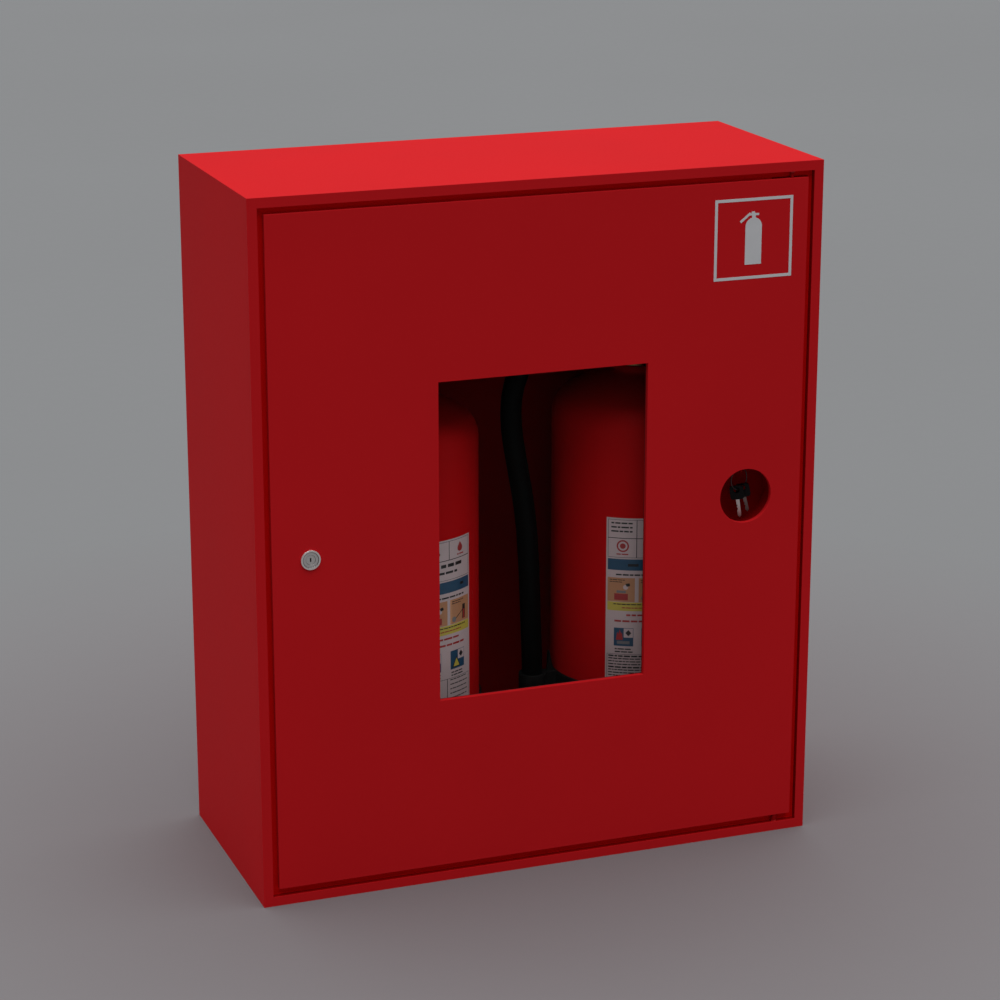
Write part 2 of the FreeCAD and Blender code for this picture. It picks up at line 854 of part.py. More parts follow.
def on_knuckle(wall):
    """Where the knuckle runs into the crown, on the surface that lies wall inside the outer one."""
    reach = d.knuckle_rad - wall
    return knuckle_out + reach * crown_share, d.shoulder_z + reach * rise_share


def on_crown(wall, radius):
    """The crown's height at a radius, on the surface that lies wall inside the outer one."""
    crown = d.crown_rad - wall
    return crown_z + root(crown * crown - radius * radius)


def bottle():
    wall = d.bottle_wall
    outer, rad, throat = d.bottle_rad, d.neck_rad, d.throat_rad
    inner = outer - wall
    return turned(
        "bottle",
        [
            (0, 16),
            (d.foot_inner - 6, 8),
            (d.foot_inner, 0),
            (d.foot_outer, 0),
            (outer, 8),
            (outer, d.shoulder_z),
            (*on_knuckle(0), d.knuckle_rad),
            (rad, on_crown(0, rad), d.crown_rad),
            (rad, d.neck_top),
            (throat, d.neck_top),
            (throat, on_crown(wall, throat)),
            (*on_knuckle(wall), wall - d.crown_rad),
            (inner, d.shoulder_z, wall - d.knuckle_rad),
            (inner, 9),
            (d.foot_outer - 1, 2.5),
            (d.foot_inner + 1, 2.5),
            (d.foot_inner - 5, 10),
            (0, 18),
        ],
    )


def valve_body():
    flange = d.neck_top + d.valve_flange
    stock = turned(
        "valve_stock",
        [
            (0, d.valve_foot),
            (d.throat_rad, d.valve_foot),
            (d.throat_rad, d.neck_top),
            (d.valve_flange_rad, d.neck_top),
            (d.valve_flange_rad, flange - 2),
            (d.valve_rad, flange),
            (d.valve_rad, d.valve_top - 2),
            (d.valve_rad - 2, d.valve_top),
            (0, d.valve_top),
        ],
    )
    solid = fuse(
        "valve_solid",
        stock,
        rod("outlet", "x", d.outlet_rad, (-d.outlet_long, 0), z=d.outlet_z),
        box(
            "gauge_pad",
            (-8, 8),
            (-d.gauge_pad_y, 0),
            (d.gauge_z - d.gauge_pad_half, d.gauge_z + d.gauge_pad_half),
        ),
    )
    return cut(
        "valve_body",
        solid,
        rod("tube_socket", "z", d.tube_rad, (d.valve_foot - 1, d.neck_top + 4)),
        rod("stem_bore", "z", d.stem_rad + d.run_gap, (d.stem_low - 4, d.valve_top + 1)),
        rod("outlet_bore", "x", 4, (-d.outlet_long - 1, -6), z=d.outlet_z),
    )


def dip_tube():
    span = (d.tube_foot, d.neck_top + 4)
    outer = rod("tube_outer", "z", d.tube_rad, span)
    return cut("dip_tube", outer, rod("tube_inner", "z", d.tube_bore, grown(span, 1)))


def powder_charge():
    span = (d.charge_low, d.charge_high)
    heap = rod("charge_heap", "z", d.charge_rad, span)
    return cut("charge", heap, rod("charge_way", "z", d.tube_rad + 0.3, grown(span, 1)))


gauge_back = -d.gauge_pad_y - d.gauge_stem
gauge_front = gauge_back - d.gauge_deep


def gauge():
    solid = fuse(
        "gauge_solid",
        rod("gauge_stem", "y", 5.5, (gauge_back, -d.gauge_pad_y), z=d.gauge_z),
        rod("gauge_can", "y", d.gauge_rad, (gauge_front, gauge_back), z=d.gauge_z),
    )
    well = rod("dial_well", "y", d.lens_rad, (gauge_front - 1, gauge_front + 1.8), z=d.gauge_z)
    return cut("gauge", solid, well)


pivot_z = d.valve_top + d.pivot_up


def carry_handle():
    """A folded channel on the valve, with two ears that hold the lever's rivet and the safety pin."""
    low, high = d.valve_top, d.valve_top + d.handle_sheet
    out, sheet_in = d.handle_half, d.handle_half - d.handle_sheet
    plates = [box("handle_web", (-d.handle_back, d.handle_long), (-out, out), (low, high))]
    for side, across in (("front", (-out, -sheet_in)), ("rear", (sheet_in, out))):
        skirt = (high - d.handle_skirt, high)
        plates.append(box(f"handle_skirt_{side}", (d.handle_back, d.handle_long), across, skirt))
        plates.append(box(f"handle_ear_{side}", (-d.handle_back, d.ear_end), across, (low, low + d.ear_tall)))
    through = (-out - 1, out + 1)
    return cut(
        "carry_handle",
        fuse("handle_folded", *plates),
        rod("handle_stem_hole", "z", d.stem_rad + 0.5, (low - 1, high + 1)),
        rod("handle_rivet_hole", "y", d.rivet_rad, through, x=-d.pivot_back, z=pivot_z),
        rod("handle_pin_hole", "y", d.safety_rad + d.run_gap, through, x=d.safety_x, z=d.safety_z),
    )


def lever():
    """A folded channel, open below, drawn level about its rivet and then lifted to its rest angle."""
    out, sheet_in = d.lever_half, d.lever_half - d.lever_sheet
    top = d.lever_web_up + d.lever_sheet
    span = (-d.lever_back, d.lever_long)
    plates = [box("lever_web", span, (-out, out), (d.lever_web_up, top))]
    for side, across in (("front", (-out, -sheet_in)), ("rear", (sheet_in, out))):
        plates.append(box(f"lever_skirt_{side}", span, across, (-d.lever_skirt, top)))
    pin_way = d.pivot_back + d.safety_x
    folded = cut(
        "lever",
        fuse("lever_folded", *plates),
        rod("lever_rivet_hole", "y", d.rivet_rad + d.run_gap, (-out - 1, out + 1)),
        box("lever_pin_slot", (pin_way - 5, pin_way + 5), (-out - 1, out + 1), (-d.lever_skirt - 1, 1.5)),
    )
    return folded


def lever_rivet():
    out = d.handle_half
    spot = {"x": -d.pivot_back, "z": pivot_z}
    return fuse(
        "lever_rivet",
        rod("rivet_shank", "y", d.rivet_rad, (-out - 1.5, out + 1.5), **spot),
        rod("rivet_head_front", "y", 4, (-out - 1.5, -out), **spot),
        rod("rivet_head_rear", "y", 4, (out, out + 1.5), **spot),
    )


def valve_stem():
    rad = d.stem_rad
    return turned(
        "valve_stem",
        [(0, d.stem_low), (rad, d.stem_low), (rad, d.stem_top - rad), (0, d.stem_top, rad)],
    )


def safety_pin():
    """One wire, straight through the ears and bent round to a pull ring in front of them."""
    ring = doc.addObject("Part::Torus", "pull_ring")
    bind(ring, Radius1=d.pull_ring_rad, Radius2=d.pull_ring_wire)
    place(ring, d.safety_x, -d.pull_ring_y, d.safety_z - d.pull_ring_rad, TURNS["y"])
    wire = rod("pin_wire", "y", d.safety_rad, (-d.pull_ring_y, d.safety_half), x=d.safety_x, z=d.safety_z)
    return fuse("safety_pin", wire, ring)


def hose_coupling():
    """A swaged steel sleeve over the valve's outlet and the hose's end."""
    end = -d.outlet_long
    sleeve = rod("coupling_sleeve", "x", d.coupling_rad, (end - d.coupling_long, end + 5), z=d.outlet_z)
    return cut(
        "hose_coupling",
        sleeve,
        rod("coupling_hose_bore", "x", d.hose_rad, (end - d.coupling_long - 1, end), z=d.outlet_z),
        rod("coupling_outlet_bore", "x", d.outlet_rad, (end - 1, end + 6), z=d.outlet_z),
    )


def hose(side):
    path = doc.addObject("Part::Feature", f"{side}_hose_path")
    path.Shape = hose_line
    ring = doc.addObject("Part::Circle", f"{side}_hose_ring")
    bind(ring, Radius=d.hose_rad)
    ring.Placement = FreeCAD.Placement(FreeCAD.Vector(*HOSE_ROUTE[0]), TURNS["x"])
    sweep = doc.addObject("Part::Sweep", f"{side}_hose")
    sweep.Sections = [ring]
    sweep.Spine = (path, [])
    sweep.Solid = True
    sweep.Frenet = True
    return sweep


def nozzle():
    top, end = d.hose_end, d.nozzle_end
    return turned(
        "nozzle",
        [
            (4, top),
            (4, end + 12),
            (8, end),
            (11.5, end),
            (9, end + 24),
            (9.5, top - 18),
            (12.5, top - 14),
            (12.5, top),
        ],
    )


def belt():
    """A rubber strap round the bottle whose clasp holds the hose's end above the nozzle."""
    tall = (d.belt_low, d.belt_high)
    inner = d.bottle_rad + d.belt_gap
    outer = inner + d.belt_thick
    solid = fuse(
        "belt_solid",
        rod("belt_band", "z", outer, tall),
        rod("belt_clasp", "z", d.clasp_rad, tall, x=-d.clasp_x),
        box("belt_web", (-d.clasp_x, -d.bottle_rad), (-5, 5), tall),
    )
    return cut(
        "belt",
        solid,
        rod("belt_way", "z", inner, grown(tall, 1)),
        rod("clasp_way", "z", d.clasp_bore, grown(tall, 1), x=-d.clasp_x),
    )


def label():
    """A printed sheet wrapped round the front of the bottle."""
    inner = d.bottle_rad + d.label_gap
    tall = (d.label_low, d.label_high)
    wedge = rod("label_wedge", "z", inner + d.label_thick, tall)
    bind(wedge, Angle=d.label_turn)
    wedge.setExpression("Placement.Rotation.Angle", f"-90 - {d.label_turn.text} / 2")
    return cut("label", wedge, rod("label_way", "z", inner, grown(tall, 1)))


def extinguisher(side, across):
    """All of one extinguisher's pieces, moved together to stand on the case's floor."""
    pieces = {
        "bottle": bottle(),
        "powder_charge": powder_charge(),
        "valve_body": valve_body(),
        "dip_tube": dip_tube(),
        "gauge": gauge(),
        "gauge_lens": rod("lens", "y", d.lens_rad, (gauge_front + 0.3, gauge_front + 1.8), z=d.gauge_z),
        "carry_handle": carry_handle(),
        "lever_rivet": lever_rivet(),
        "valve_stem": valve_stem(),
        "safety_pin": safety_pin(),
        "hose_coupling": hose_coupling(),
        "hose": hose(side),
        "belt": belt(),
        "label": label(),
    }
    for piece, thing in pieces.items():
        if thing.TypeId in ("Part::Cylinder", "Part::Torus"):
            thing = group(f"{side}_{piece}_placed", thing)
        keep(place(thing, across, 0, STEEL), f"{side}_{piece}")
    keep(place(group(f"{side}_nozzle_placed", nozzle()), across - d.clasp_x, 0, STEEL), f"{side}_nozzle")
    tilt = about((0, 1, 0), -SIZES["lever_lift"])
    keep(place(lever(), across - d.pivot_back, 0, STEEL + pivot_z, tilt), f"{side}_lever")


extinguisher("left", d.left_x)
extinguisher("right", d.right_x)

# ---- Check every feature and write each sub-part.
doc.recompute()
for thing in doc.Objects:
    if "Invalid" in thing.State or "Error" in thing.State:
        raise RuntimeError(f"{thing.Name} ({thing.Label}) failed: {thing.State}")
hose_section = math.pi * SIZES["hose_rad"] ** 2
for side in ("left", "right"):
    swept = doc.getObject(f"{side}_hose").Shape.Volume / (hose_section * hose_line.Length)
    if abs(swept - 1) > 0.002:
        raise RuntimeError(f"the {side} hose has {swept:.4f} of its section times its length")
    print(side, "hose volume over section x length", round(swept, 5))
os.makedirs("parts", exist_ok=True)
for thing in nodes:
    shape = thing.Shape
    if shape.isNull() or not shape.isValid() or shape.Volume <= 0:
        raise RuntimeError(f"{thing.Label} has no valid shape")
for thing in nodes:
    thing.Shape.exportStep(f"parts/{thing.Label}.step")
    print(thing.Label, round(thing.Shape.Volume, 1), len(thing.Shape.Solids))
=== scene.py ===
import random
from math import acos, atan2, cos, degrees, pi, radians, sin, sqrt

import bmesh
import bpy
from mathutils import Matrix, Vector


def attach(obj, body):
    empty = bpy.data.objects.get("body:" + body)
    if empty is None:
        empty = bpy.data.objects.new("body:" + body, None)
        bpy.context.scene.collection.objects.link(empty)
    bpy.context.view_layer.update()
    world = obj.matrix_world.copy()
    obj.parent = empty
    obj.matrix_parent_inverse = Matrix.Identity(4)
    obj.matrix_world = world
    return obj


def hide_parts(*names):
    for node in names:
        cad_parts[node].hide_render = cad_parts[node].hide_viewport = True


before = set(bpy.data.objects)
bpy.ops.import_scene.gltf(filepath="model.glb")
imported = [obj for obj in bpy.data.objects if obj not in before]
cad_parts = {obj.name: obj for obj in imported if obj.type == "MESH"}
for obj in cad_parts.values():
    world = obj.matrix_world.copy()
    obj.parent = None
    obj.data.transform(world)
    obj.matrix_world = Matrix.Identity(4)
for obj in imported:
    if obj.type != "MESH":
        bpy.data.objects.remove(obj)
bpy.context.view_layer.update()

# ---- Camera.
# It stands to the left of the cabinet and a little above it, with a long lens, and looks at the
# door's middle.
EYE = (-0.90762, -2.43893, 1.10635)
LINE_OF_SIGHT = Vector((0.3342, 0.8976, -0.2876))
LENS_MM, SENSOR_MM = 104.09, 36
camera = bpy.data.objects.new("camera", bpy.data.cameras.new("camera"))
camera.location = EYE
camera.rotation_euler = LINE_OF_SIGHT.to_track_quat("-Z", "Y").to_euler()
camera.data.lens = LENS_MM
camera.data.sensor_width = SENSOR_MM
bpy.context.scene.collection.objects.link(camera)
bpy.context.scene.camera = camera
bpy.context.scene.view_settings.view_transform = "Standard"


# ---- Discharge hoses.
# Each extinguisher's black rubber hose is swaged to the valve, arches out to the left and hangs
# beside the bottle. Its nozzle is pushed into the belt's clasp.
class Wire:
    """A value in a finish's node tree. Arithmetic on wires adds Math nodes."""

    def __init__(self, finish, socket):
        self.finish = finish
        self.socket = socket

    def math(self, operation, *values):
        return self.finish.node("ShaderNodeMath", {"operation": operation}, *values)

    def __add__(self, other):
        return self.math("ADD", self, other)

    def __sub__(self, other):
        return self.math("SUBTRACT", self, other)

    def __rsub__(self, other):
        return self.math("SUBTRACT", other, self)

    def __mul__(self, other):
        return self.math("MULTIPLY", self, other)

    __radd__ = __add__
    __rmul__ = __mul__

    def clamped(self):
        return self.math("MAXIMUM", self.math("MINIMUM", self, 1), 0)


class Finish:
    """A material whose constants are set on its shader, and whose varying sockets take wires."""

    def __init__(self, name, **constants):
        self.material = bpy.data.materials.new(name)
        self.material.use_nodes = True
        self.tree = self.material.node_tree
        self.shader = self.tree.nodes["Principled BSDF"]
        for socket, value in constants.items():
            self.join(value, self.shader.inputs[socket.replace("_", " ")])

    def join(self, value, socket):
        if isinstance(value, Wire):
            self.tree.links.new(value.socket, socket)
        elif isinstance(value, tuple) and socket.type == "RGBA":
            socket.default_value = (*value, 1)
        else:
            socket.default_value = value

    def node(self, kind, settings, *values, out=0, **named):
        node = self.tree.nodes.new(kind)
        for name, value in settings.items():
            setattr(node, name, value)
        for key, value in enumerate(values):
            self.join(value, node.inputs[key])
        for key, value in named.items():
            self.join(value, node.inputs[key.replace("_", " ")])
        return Wire(self, node.outputs[out])

    def vary(self, **wires):
        for socket, wire in wires.items():
            self.join(wire, self.shader.inputs[socket.replace("_", " ")])
        return self

    def place(self, stretch=(1, 1, 1)):
        spot = self.node("ShaderNodeTexCoord", {}, out="Object")
        return self.node("ShaderNodeVectorMath", {"operation": "MULTIPLY"}, spot, stretch)

    def noise(self, scale, detail, stretch=(1, 1, 1)):
        spot = self.place(stretch)
        sockets = {"Vector": spot, "Scale": scale, "Detail": detail}
        return self.node("ShaderNodeTexNoise", {}, out="Fac", **sockets)

    def mix(self, share, first, second):
        node = self.tree.nodes.new("ShaderNodeMix")
        node.data_type = "RGBA"
        for key, value in ((0, share), (6, first), (7, second)):
            self.join(value, node.inputs[key])
        return Wire(self, node.outputs[2])

    def relief(self, height, depth, strength):
        return self.node("ShaderNodeBump", {}, Height=height, Distance=depth, Strength=strength)


def shade(colour, factor):
    return tuple(min(1.0, part * factor) for part in colour)


def wear(thing, finish):
    """Puts a finish on every slot of an object."""
    thing.data.materials.clear()
    thing.data.materials.append(finish.material)


def rubber(name, colour, roughness):
    skin = Finish(name, Specular_IOR_Level=0.07)
    bloom = skin.noise(45, 4)
    grain = skin.noise(1800, 2)
    return skin.vary(
        Base_Color=skin.mix(bloom, colour, shade(colour, 2.2)),
        Roughness=roughness + 0.18 * bloom,
        Normal=skin.relief(grain, 0.00008, 0.5),
    )


def moulded(name, colour, roughness, shine=0.5):
    plastic = Finish(name, Specular_IOR_Level=shine)
    cloud = plastic.noise(60, 3)
    spark = plastic.noise(2600, 1)
    return plastic.vary(
        Base_Color=plastic.mix(cloud, shade(colour, 0.85), shade(colour, 1.25)),
        Roughness=roughness + 0.12 * cloud,
        Normal=plastic.relief(spark, 0.00005, 0.4),
    )


def mesh_piece(name, work, body, smooth=True):
    """Makes an object of a bmesh, in the row's frame, and lets it ride on a body."""
    for face in work.faces:
        face.smooth = smooth
    bmesh.ops.recalc_face_normals(work, faces=work.faces)
    mesh = bpy.data.meshes.new(name)
    work.to_mesh(mesh)
    work.free()
    piece = bpy.data.objects.new(name, mesh)
    bpy.context.scene.collection.objects.link(piece)
    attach(piece, body)
    return piece


def turned(name, profile, centre, body, steps=96):
    """Turns a profile of (radius, height) in millimetres about the upright through a centre."""
    work = bmesh.new()
    rings = []
    for radius, height in profile:
        ring = []
        for step in range(steps if radius > 0 else 1):
            turn = 2 * pi * step / steps
            spot = Vector((radius * cos(turn), radius * sin(turn), height)) * 0.001
            ring.append(work.verts.new(spot + centre))
        rings.append(ring)
    for low, high in zip(rings, rings[1:]):
        for step in range(steps):
            after = (step + 1) % steps
            corners = [
                low[step % len(low)],
                low[after % len(low)],
                high[after % len(high)],
                high[step % len(high)],
            ]
            work.faces.new(list(dict.fromkeys(corners)))
    return mesh_piece(name, work, body)


hose_rubber = rubber("hose rubber", (0.0012, 0.0012, 0.0013), 0.50)
nozzle_plastic = moulded("black nozzle", (0.010, 0.010, 0.011), 0.45)
HOSE_ROUTE = (
    (-0.0236, 0, 0.4987),
    (-0.0518, 0, 0.4987),
    (-0.0786, 0, 0.4900),
    (-0.1014, 0, 0.4734),
    (-0.1180, 0, 0.4506),
    (-0.1267, 0, 0.4238),
    (-0.1267, 0, 0.3930),
    (-0.1208, 0, 0.3580),
    (-0.1121, 0, 0.3100),
    (-0.1083, 0, 0.2580),
    (-0.1066, 0, 0.2060),
    (-0.1046, 0, 0.1600),
    (-0.1046, 0, 0.1220),
)
NOZZLE_SHAPE = (
    (4, 76),
    (4, 12),
    (8, 0.6),
    (8.6, 0),
    (11, 0),
    (11.5, 0.6),
    (9.4, 22),
    (9.0, 26),
    (9.2, 50),
    (9.6, 56),
    (10.4, 58),
    (12.1, 61),
    (12.5, 62),
    (12.5, 75.4),
    (12.1, 76),
    (4, 76),
)
NOZZLE_AT = Vector((-0.1046, 0, 0.046))
HOSE_RADIUS = 0.010
FLOOR_UP = 0.0012
BOTTLE_X = {"left": -0.106, "right": 0.138}
for side, bottle_x in BOTTLE_X.items():
    foot = Vector((bottle_x, 0, FLOOR_UP))
    body = f"{side}_extinguisher"
    nozzle = turned(f"{side}_hose_nozzle", NOZZLE_SHAPE, foot + NOZZLE_AT, body)
    wear(nozzle, nozzle_plastic)
    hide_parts(f"{side}_nozzle")
    line = bpy.data.curves.new(f"{side}_discharge_hose", "CURVE")
    line.dimensions = "3D"
    line.bevel_depth = HOSE_RADIUS
    line.bevel_resolution = 10
    line.resolution_u = 24
    line.use_fill_caps = True
    route = line.splines.new("NURBS")
    route.points.add(len(HOSE_ROUTE) - 1)
    for point, spot in zip(route.points, HOSE_ROUTE):
        point.co = (*(foot + Vector(spot)), 1)
    route.order_u = 3
    route.use_endpoint_u = True
    hose = bpy.data.objects.new(f"{side}_discharge_hose", line)
    bpy.context.scene.collection.objects.link(hose)
    wear(hose, hose_rubber)
    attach(hose, body)
    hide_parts(f"{side}_hose")

# ---- Floor and lights.
# A plain grey studio floor, a broad soft light overhead and an even grey surround.
# The floor is painted a little darker and pinker close to the cabinet: painted shade and painted
# red bounce light.
FLOOR_GREYS = (0.200, 0.203, 0.208), (0.212, 0.217, 0.223)
NEAR_SHADE_AND_BOUNCE = (0.190, 0.172, 0.180)
FLOOR_SIZE = 20
SUN_ENERGY, SUN_WIDTH = 3.24, radians(92)
SKY_COLOUR, SKY_STRENGTH = (0.97, 0.99, 1.0, 1), 0.19
stone = Finish("studio floor", Specular_IOR_Level=0.2)
cast = stone.noise(0.8, 2)
away = stone.node("ShaderNodeVectorMath", {"operation": "LENGTH"}, stone.place(), out="Value")
# Painted shade and red bounce light: the floor turns darker and pinker near the cabinet.
near = (1.4 - 1.35 * away).clamped()
stone.vary(
    Base_Color=stone.mix(near, stone.mix(cast, *FLOOR_GREYS), NEAR_SHADE_AND_BOUNCE),
    Roughness=0.75 + 0.1 * stone.noise(40, 3),
)
work = bmesh.new()
bmesh.ops.create_grid(work, x_segments=1, y_segments=1, size=FLOOR_SIZE)
floor_mesh = bpy.data.meshes.new("floor")
work.to_mesh(floor_mesh)
work.free()
floor = bpy.data.objects.new("floor", floor_mesh)
bpy.context.scene.collection.objects.link(floor)
wear(floor, stone)

softbox = bpy.data.objects.new("overhead light", bpy.data.lights.new("overhead light", "SUN"))
softbox.data.energy = SUN_ENERGY
softbox.data.angle = SUN_WIDTH
softbox.location = (0, 0, 3)
bpy.context.scene.collection.objects.link(softbox)
surround = bpy.data.worlds.new("surround")
surround.use_nodes = True
sky = surround.node_tree.nodes["Background"].inputs
sky["Color"].default_value = SKY_COLOUR
sky["Strength"].default_value = SKY_STRENGTH
bpy.context.scene.world = surround


# ---- Case.
# One shell folded from 1.2 mm steel, its front edge turned in to a narrow rim, a channel and a stop
# for the door, and a back panel spot-welded in. Red powder coat; the back panel takes a darker red
# as painted shade, and the channel carries painted light and shade.
CASE_RED = (0.60, 0.0112, 0.0152)
SHADE_RED = (0.33, 0.0030, 0.0040)
# Painted light and shade for the door channel: a brighter red on its floor, a darker red on its
# walls.
CHANNEL_FLOOR_LIT_RED, CHANNEL_WALL_SHADE_RED = (0.80, 0.002, 0.002), (0.26, 0.001, 0.001)
CHANNEL_ACROSS = -0.2615, 0.2615
CHANNEL_UP = 0.0085, 0.6415
CHANNEL_FRONT, CHANNEL_DEEP, CHANNEL_BACK = -0.1146, -0.1095, -0.1078
TINT_EDGE = 0.0001


def powder_coat(name, colour, roughness, peel=0.35, tint=None):
    coat = Finish(name, Specular_IOR_Level=0.035)
    cloud = coat.noise(7, 3)
    speck = coat.noise(420, 3)
    skin = coat.noise(900, 2)
    tone = coat.mix(cloud, shade(colour, 0.94), shade(colour, 1.05))
    if tint:
        tone = tint(coat, tone)
    return coat.vary(
        Base_Color=coat.mix(0.12 * speck, tone, shade(colour, 0.82)),
        Roughness=roughness + 0.06 * cloud + 0.10 * (speck - 0.5),
        Normal=coat.relief(skin, 0.00012, peel),
    )


def soften(node, width):
    """Rounds the folded edges of a CAD node by a small radius."""
    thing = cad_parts[node]
    weld = thing.modifiers.new("join edges", "WELD")
    weld.merge_threshold = 0.00001
    bend = thing.modifiers.new("edge radius", "BEVEL")
    bend.width = width
    bend.segments = 2
    bend.limit_method = "ANGLE"
    bend.angle_limit = radians(40)
    bend.harden_normals = True
    return thing


def between(place, low, high):
    """One inside a span and nothing outside it."""
    above = ((place - low) * (1 / TINT_EDGE)).clamped()
    return above * ((high - place) * (1 / TINT_EDGE)).clamped()


def channel_painted_light(coat, tone):
    """Painted light and shade in the door channel: its floor is painted brighter red, its steep
    walls darker red.
    """
    spot = coat.place()
    across, back, up = (
        coat.node("ShaderNodeSeparateXYZ", {}, spot, out=part) for part in range(3)
    )
    inside = between(across, *CHANNEL_ACROSS) * between(up, *CHANNEL_UP)
    lit_floor_share = inside * between(back, CHANNEL_DEEP, CHANNEL_BACK)
    shaded_wall_share = inside * between(back, CHANNEL_FRONT, CHANNEL_DEEP)
    tone = coat.mix(lit_floor_share, tone, CHANNEL_FLOOR_LIT_RED)
    return coat.mix(shaded_wall_share, tone, CHANNEL_WALL_SHADE_RED)


case_red = powder_coat("red powder coat", CASE_RED, 0.55)
case_coat_painted_light = powder_coat("red powder coat, case, painted channel light and shade", CASE_RED, 0.55, tint=channel_painted_light)
wear(soften("case_shell", 0.0004), case_coat_painted_light)
# The back panel takes a darker red: painted shade for the cabinet's inside seen through the window.
shade_red_coat = powder_coat("red coat darkened as painted shade", SHADE_RED, 0.62)
wear(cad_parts["back_panel"], shade_red_coat)
wear(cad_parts["hinge_bushes"], moulded("red nylon", (0.50, 0.006, 0.008), 0.5))
pad_rubber = rubber("buffer rubber", (0.012, 0.012, 0.012), 0.6)
wear(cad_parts["door_buffers"], pad_rubber)

# ---- Door.
# A shallow tray folded from the same steel, with a window whose edge is turned in, a round hole for
# the keys, and hinge blocks welded inside. Same red powder coat; the pins, the key drum and the key
# hook take a darker red as painted shade in the channel and the recess.
for node in ("door_panel", "hinge_blocks", "pane_clips"):
    wear(soften(node, 0.0003), case_red)
# Darker red as painted shade in the key recess, on the hinge pins in the channel and on the hook.
wear(soften("key_pocket", 0.0003), shade_red_coat)
wear(soften("hinge_pins", 0.0002), shade_red_coat)
wear(soften("key_hook", 0.0002), shade_red_coat)

# ---- Window pane.
# A clear sheet, clipped inside the door against a thin rubber gasket that runs round the opening.
# It carries a few finger smears.
clear = Finish(
    "clear window pane",
    Base_Color=(0.02, 0.025, 0.022),
    Roughness=0.03,
    Specular_IOR_Level=0.1,
)
smear = (clear.noise(11, 3, (1, 1, 0.5)) - 0.52) * 2.2
clear.vary(Alpha=0.018 + 0.02 * smear.clamped())
wear(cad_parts["window_pane"], clear)
wear(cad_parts["pane_gasket"], pad_rubber)


# ---- Sign on the door.
# White self-adhesive film, cut to a square border and the outline of an extinguisher, and rubbed
# down on the door's coat.
def printed(name, colour, roughness=0.35):
    ink = Finish(name)
    cloud = ink.noise(90, 3)
    return ink.vary(
        Base_Color=ink.mix(cloud, shade(colour, 0.93), shade(colour, 1.03)),
        Roughness=roughness + 0.10 * cloud,
    )


wear(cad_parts["sign_film"], printed("white film", (0.68, 0.68, 0.70)))


# ---- Cam lock.
# A nickel-plated housing held by a nut behind the door, a plug with a keyway, and a cranked cam.
# The nut, the cam and its screw are zinc plated.
NICKEL = (0.76, 0.73, 0.71)
# Painted shade colours for the plug and the well, and a painted highlight colour for the bezel's
# rim.
PLUG_SHADE, WELL_CORNER_SHADE = (0.22, 0.20, 0.20), (0.20, 0.18, 0.18)
RIM_HIGHLIGHT = (0.95, 0.90, 0.88)
LOCK_AXIS = (-0.22, 0, 0.3254)
PLUG_RING, WELL_RING, RIM_RING = (0.0042, 0.0047), (0.0067, 0.0074), (0.0077, 0.0092)


def plated(name, colour, roughness, tint=None):
    metal = Finish(name, Metallic=1.0)
    cloud = metal.noise(70, 3)
    lines = metal.noise(900, 3)
    tone = metal.mix(cloud, shade(colour, 0.82), shade(colour, 1.08))
    if tint:
        tone = tint(metal, tone)
    return metal.vary(
        Base_Color=tone,
        Roughness=roughness + 0.14 * lines + 0.08 * cloud,
        Normal=metal.relief(lines, 0.00004, 0.4),
    )


def lock_shade_and_highlight_rings(metal, tone):
    """Painted shade round the plug and in the well's corner, and a painted highlight on the bezel's
    edge.
    """
    distance = {"operation": "DISTANCE"}
    flat = metal.place((1, 0, 1))
    out = metal.node("ShaderNodeVectorMath", distance, flat, LOCK_AXIS, out="Value")
    tone = metal.mix(between(out, *PLUG_RING) * 0.7, tone, PLUG_SHADE)
    tone = metal.mix(between(out, *WELL_RING) * 0.8, tone, WELL_CORNER_SHADE)
    return metal.mix(between(out, *RIM_RING), tone, RIM_HIGHLIGHT)


zinc = plated("bright zinc plate", (0.60, 0.60, 0.59), 0.26)
nickel = plated("satin nickel plate", NICKEL, 0.30)
lock_nickel_painted_light = plated("satin nickel plate, lock, painted shade and highlight", NICKEL, 0.32, lock_shade_and_highlight_rings)
for node in ("lock_housing", "lock_plug"):
    wear(soften(node, 0.00025), lock_nickel_painted_light)
for node in ("lock_nut", "lock_cam", "cam_screw"):
    wear(soften(node, 0.0003), zinc)

# ---- Keys.
# Two flat keys with black moulded bows, one plated and one a darker steel that is painted shade.
# They hang on a sprung wire ring over the hook in the recess.
RING_CENTRE = Vector((0.2001, -0.100, 0.3526))
RING_RADIUS, RING_WIRE = 0.0102, 0.0005
RING_TURN = Matrix.Rotation(radians(20), 3, "Z")
RING_STEPS, WIRE_STEPS = 72, 14
bow_plastic = moulded("black key bow", (0.0018, 0.0018, 0.002), 0.3, 0.15)
shaded_key_steel = plated("key steel darkened as painted shade", (0.26, 0.22, 0.21), 0.38)
